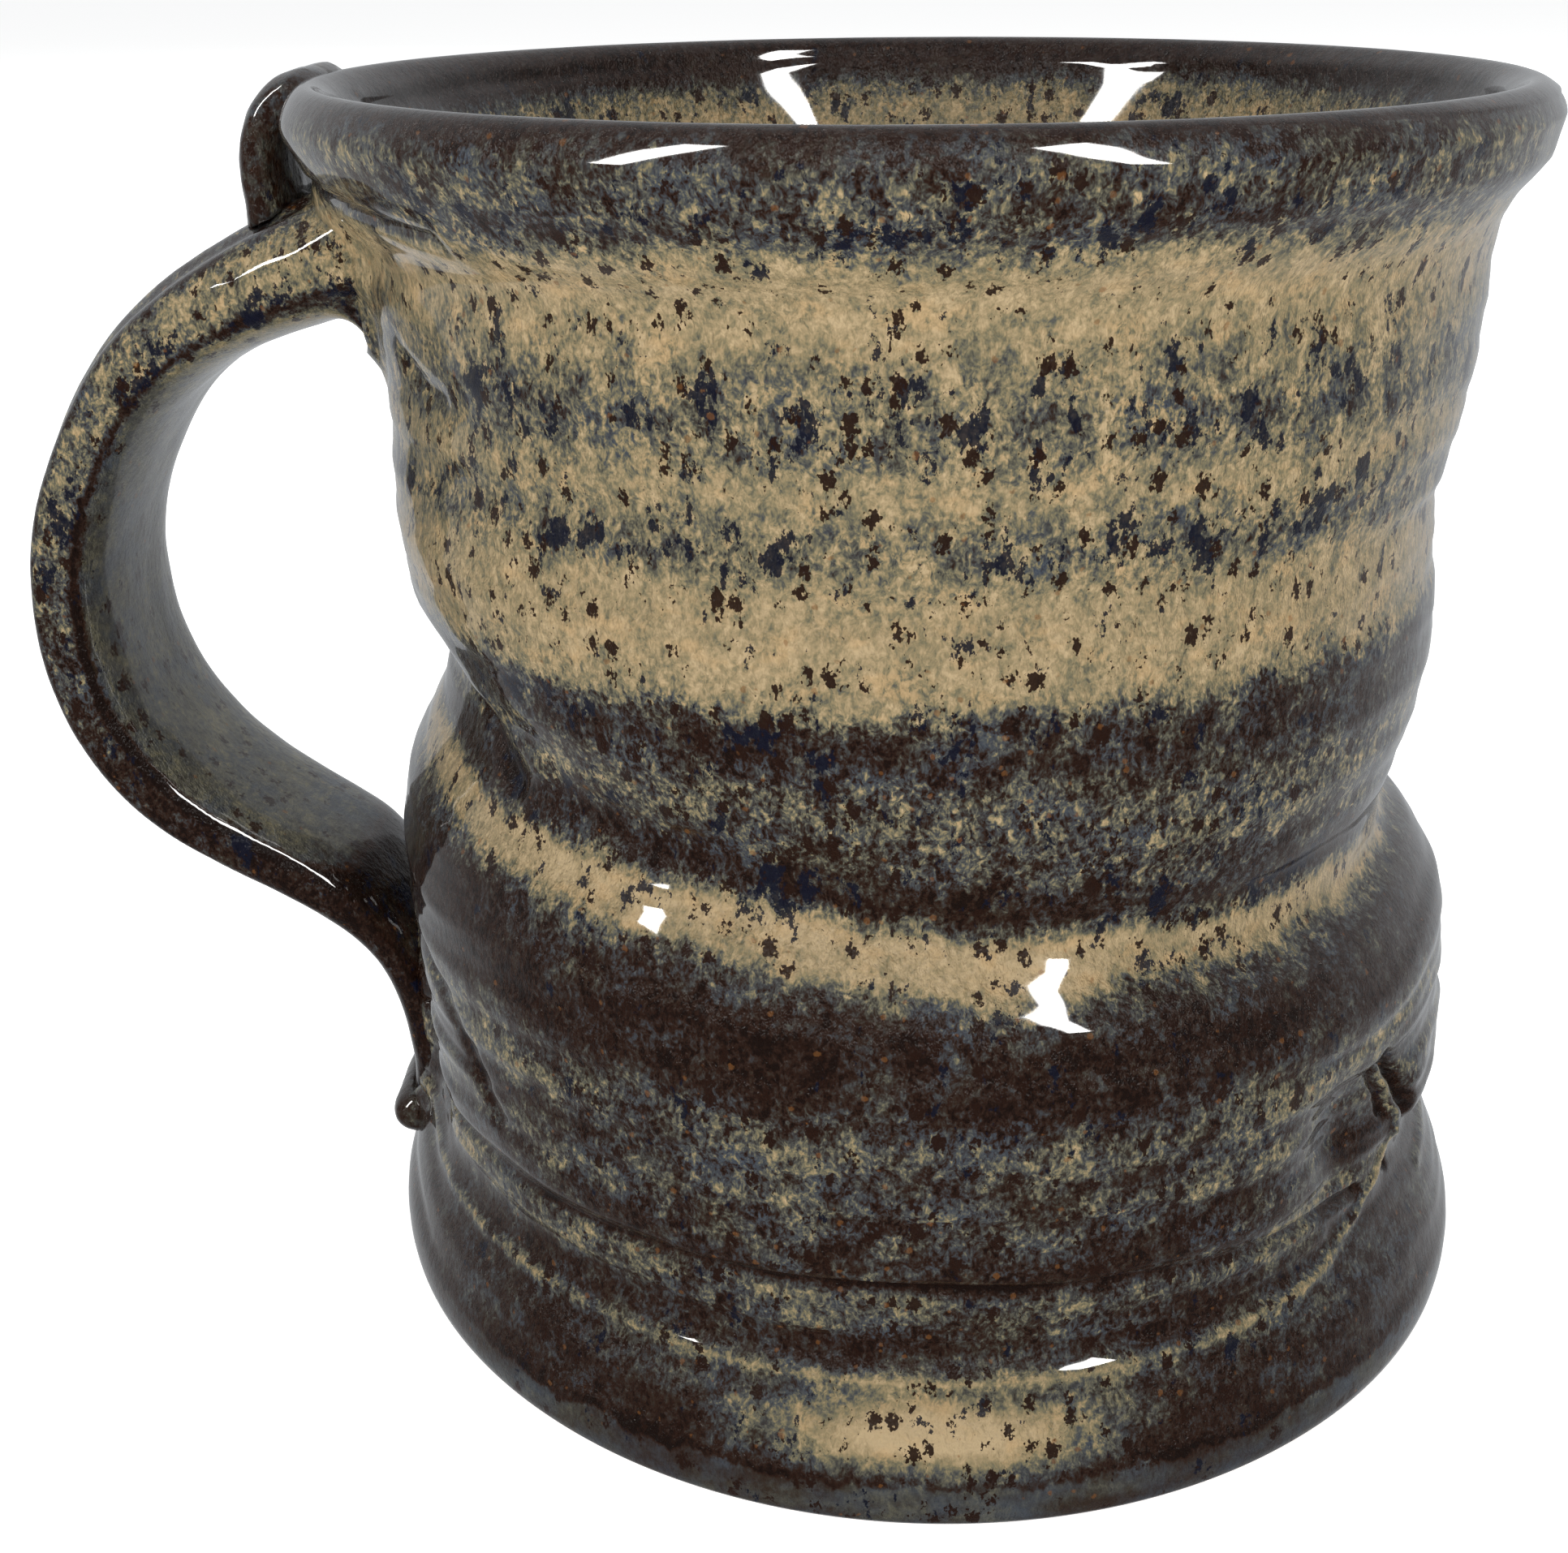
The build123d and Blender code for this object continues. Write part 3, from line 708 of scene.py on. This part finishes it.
def bare_the_foot(recipe):
    """Leaves the underside as unglazed clay, cut from the wheel by a wire."""
    shader = recipe.shader
    bare = recipe.own("bare").over(0.3, 0.7)
    grit = recipe.clouds(recipe.places(), 0.5, 3.0)
    clay = recipe.blend((0.5 + grit * 0.3).clip(), tint(150, 118, 88), BARE_CLAY)
    glazed = Number(recipe, shader.inputs["Base Color"].links[0].from_socket)
    recipe.put(shader.inputs["Base Color"], recipe.blend(bare, glazed, clay))
    gloss = Number(recipe, shader.inputs["Roughness"].links[0].from_socket)
    recipe.put(shader.inputs["Roughness"], gloss * (1 - bare) + bare * 0.9)
    recipe.put(shader.inputs["Coat Weight"], 1 - bare)


wall_glaze = glaze("streaked_wall_glaze", lay_on_wall)
bare_the_foot(wall_glaze)
handle_glaze = glaze("streaked_handle_glaze", lay_on_handle)
dark_glaze = glaze("dark_joint_glaze", lay_dark)
for piece, recipe in ((wall, wall_glaze), (handle, handle_glaze), (thumb, dark_glaze), (scroll, dark_glaze)):
    piece.data.materials.clear()
    piece.data.materials.append(recipe.material)

for piece, nodes in ((wall, ["thrown_body"]), (handle, ["pulled_handle", "upper_joint_coil", "lower_joint_coil"]),
                     (thumb, ["thumb_rest"]), (scroll, ["tail_scroll"])):
    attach(piece, "root")
    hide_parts(*nodes)

# --- camera, floor and lights ---
CAMERA_PLACE = (0.0, -0.1499, 0.1042)   # in metres
CAMERA_DOWN = 23.81                     # degrees below level
CAMERA_LEFT = 4.5                       # degrees towards the handle
CAMERA_ROLL = -1.26
LENS = 43.8                             # in millimetres, as is the sensor
SENSOR = 36.0
FLOOR_SIZE = 400.0
WINDOW_TINT = (1.0, 0.99, 0.97)


def make_camera():
    """Close to the mug, a little above the lip and looking down on it."""
    camera = bpy.data.objects.new("camera", bpy.data.cameras.new("camera"))
    bpy.context.collection.objects.link(camera)
    camera.data.sensor_fit = "HORIZONTAL"
    camera.data.sensor_width = SENSOR
    camera.data.lens = LENS
    camera.data.clip_start = 0.01
    turn = Matrix.Rotation(math.radians(CAMERA_LEFT), 4, "Z")
    tilt = Matrix.Rotation(math.radians(90 - CAMERA_DOWN), 4, "X")
    roll = Matrix.Rotation(math.radians(CAMERA_ROLL), 4, "Z")
    camera.matrix_world = Matrix.Translation(CAMERA_PLACE) @ turn @ tilt @ roll
    bpy.context.scene.camera = camera


def make_floor():
    """A plain pale surface that the mug stands on."""
    bpy.ops.object.select_all(action="DESELECT")
    bpy.ops.mesh.primitive_plane_add(size=FLOOR_SIZE, location=(0, 0, -0.2 * MM))
    floor = bpy.context.object
    floor.name = "floor"
    floor.visible_glossy = False
    paint = bpy.data.materials.new("pale_floor")
    paint.use_nodes = True
    shader = paint.node_tree.nodes["Principled BSDF"]
    shader.inputs["Base Color"].default_value = (0.82, 0.82, 0.81, 1)
    shader.inputs["Roughness"].default_value = 0.8
    shader.inputs["Emission Color"].default_value = (1, 1, 1, 1)
    shader.inputs["Emission Strength"].default_value = 0.75
    floor.data.materials.append(paint)


def softbox(name, azimuth, elevation, distance, width, height, power, colour):
    """A rectangular light aimed at the mug's middle."""
    lamp = bpy.data.lights.new(name, "AREA")
    lamp.shape = "RECTANGLE"
    lamp.size, lamp.size_y = width, height
    lamp.energy = power
    lamp.color = colour
    holder = bpy.data.objects.new(name, lamp)
    bpy.context.collection.objects.link(holder)
    turn, lift = math.radians(azimuth), math.radians(elevation)
    towards = Vector((math.cos(turn) * math.cos(lift), math.sin(turn) * math.cos(lift), math.sin(lift)))
    aim = Vector((0, 0, 0.5 * CREST * MM))
    holder.location = towards * distance + aim
    holder.rotation_euler = (aim - holder.location).to_track_quat("-Z", "Y").to_euler()
    return holder


def make_light():
    """Two narrow windows that show in the gloss, soft fills that do not, and a room paler behind the mug."""
    world = bpy.data.worlds.new("studio")
    bpy.context.scene.world = world
    world.use_nodes = True
    nodes, links = world.node_tree.nodes, world.node_tree.links
    nodes["Background"].inputs["Color"].default_value = (0.94, 0.97, 1.0, 1)
    where, parts, fade, ray, seen = (nodes.new("ShaderNode" + kind) for kind in
                                     ("TexCoord", "SeparateXYZ", "MapRange", "LightPath", "Math"))
    seen.operation = "MAXIMUM"
    fade.interpolation_type = "SMOOTHSTEP"
    for name, value in (("From Min", -0.3), ("From Max", 0.8), ("To Min", 0.06), ("To Max", 0.5)):
        fade.inputs[name].default_value = value
    links.new(where.outputs["Generated"], parts.inputs[0])
    links.new(parts.outputs["Y"], fade.inputs["Value"])
    links.new(fade.outputs[0], seen.inputs[0])
    links.new(ray.outputs["Is Camera Ray"], seen.inputs[1])
    links.new(seen.outputs[0], nodes["Background"].inputs["Strength"])
    for lamp in (softbox("left_window", -142, 42, 0.9, 0.11, 0.6, 7.0, WINDOW_TINT),
                 softbox("right_window", -50, 42, 0.9, 0.11, 0.6, 7.0, WINDOW_TINT)):
        lamp.visible_diffuse = False
    for lamp in (softbox("front_fill", -95, 35, 1.6, 1.2, 0.9, 18.0, (1.0, 0.97, 0.92)),
                 softbox("top_fill", 90, 80, 1.4, 1.2, 1.2, 6.0, (1.0, 0.98, 0.95)),
                 softbox("back_fill", 70, 25, 1.6, 1.6, 0.9, 8.0, (0.96, 0.98, 1.0))):
        lamp.visible_glossy = False


make_camera()
make_floor()
make_light()
bpy.context.scene.view_settings.view_transform = "Standard"
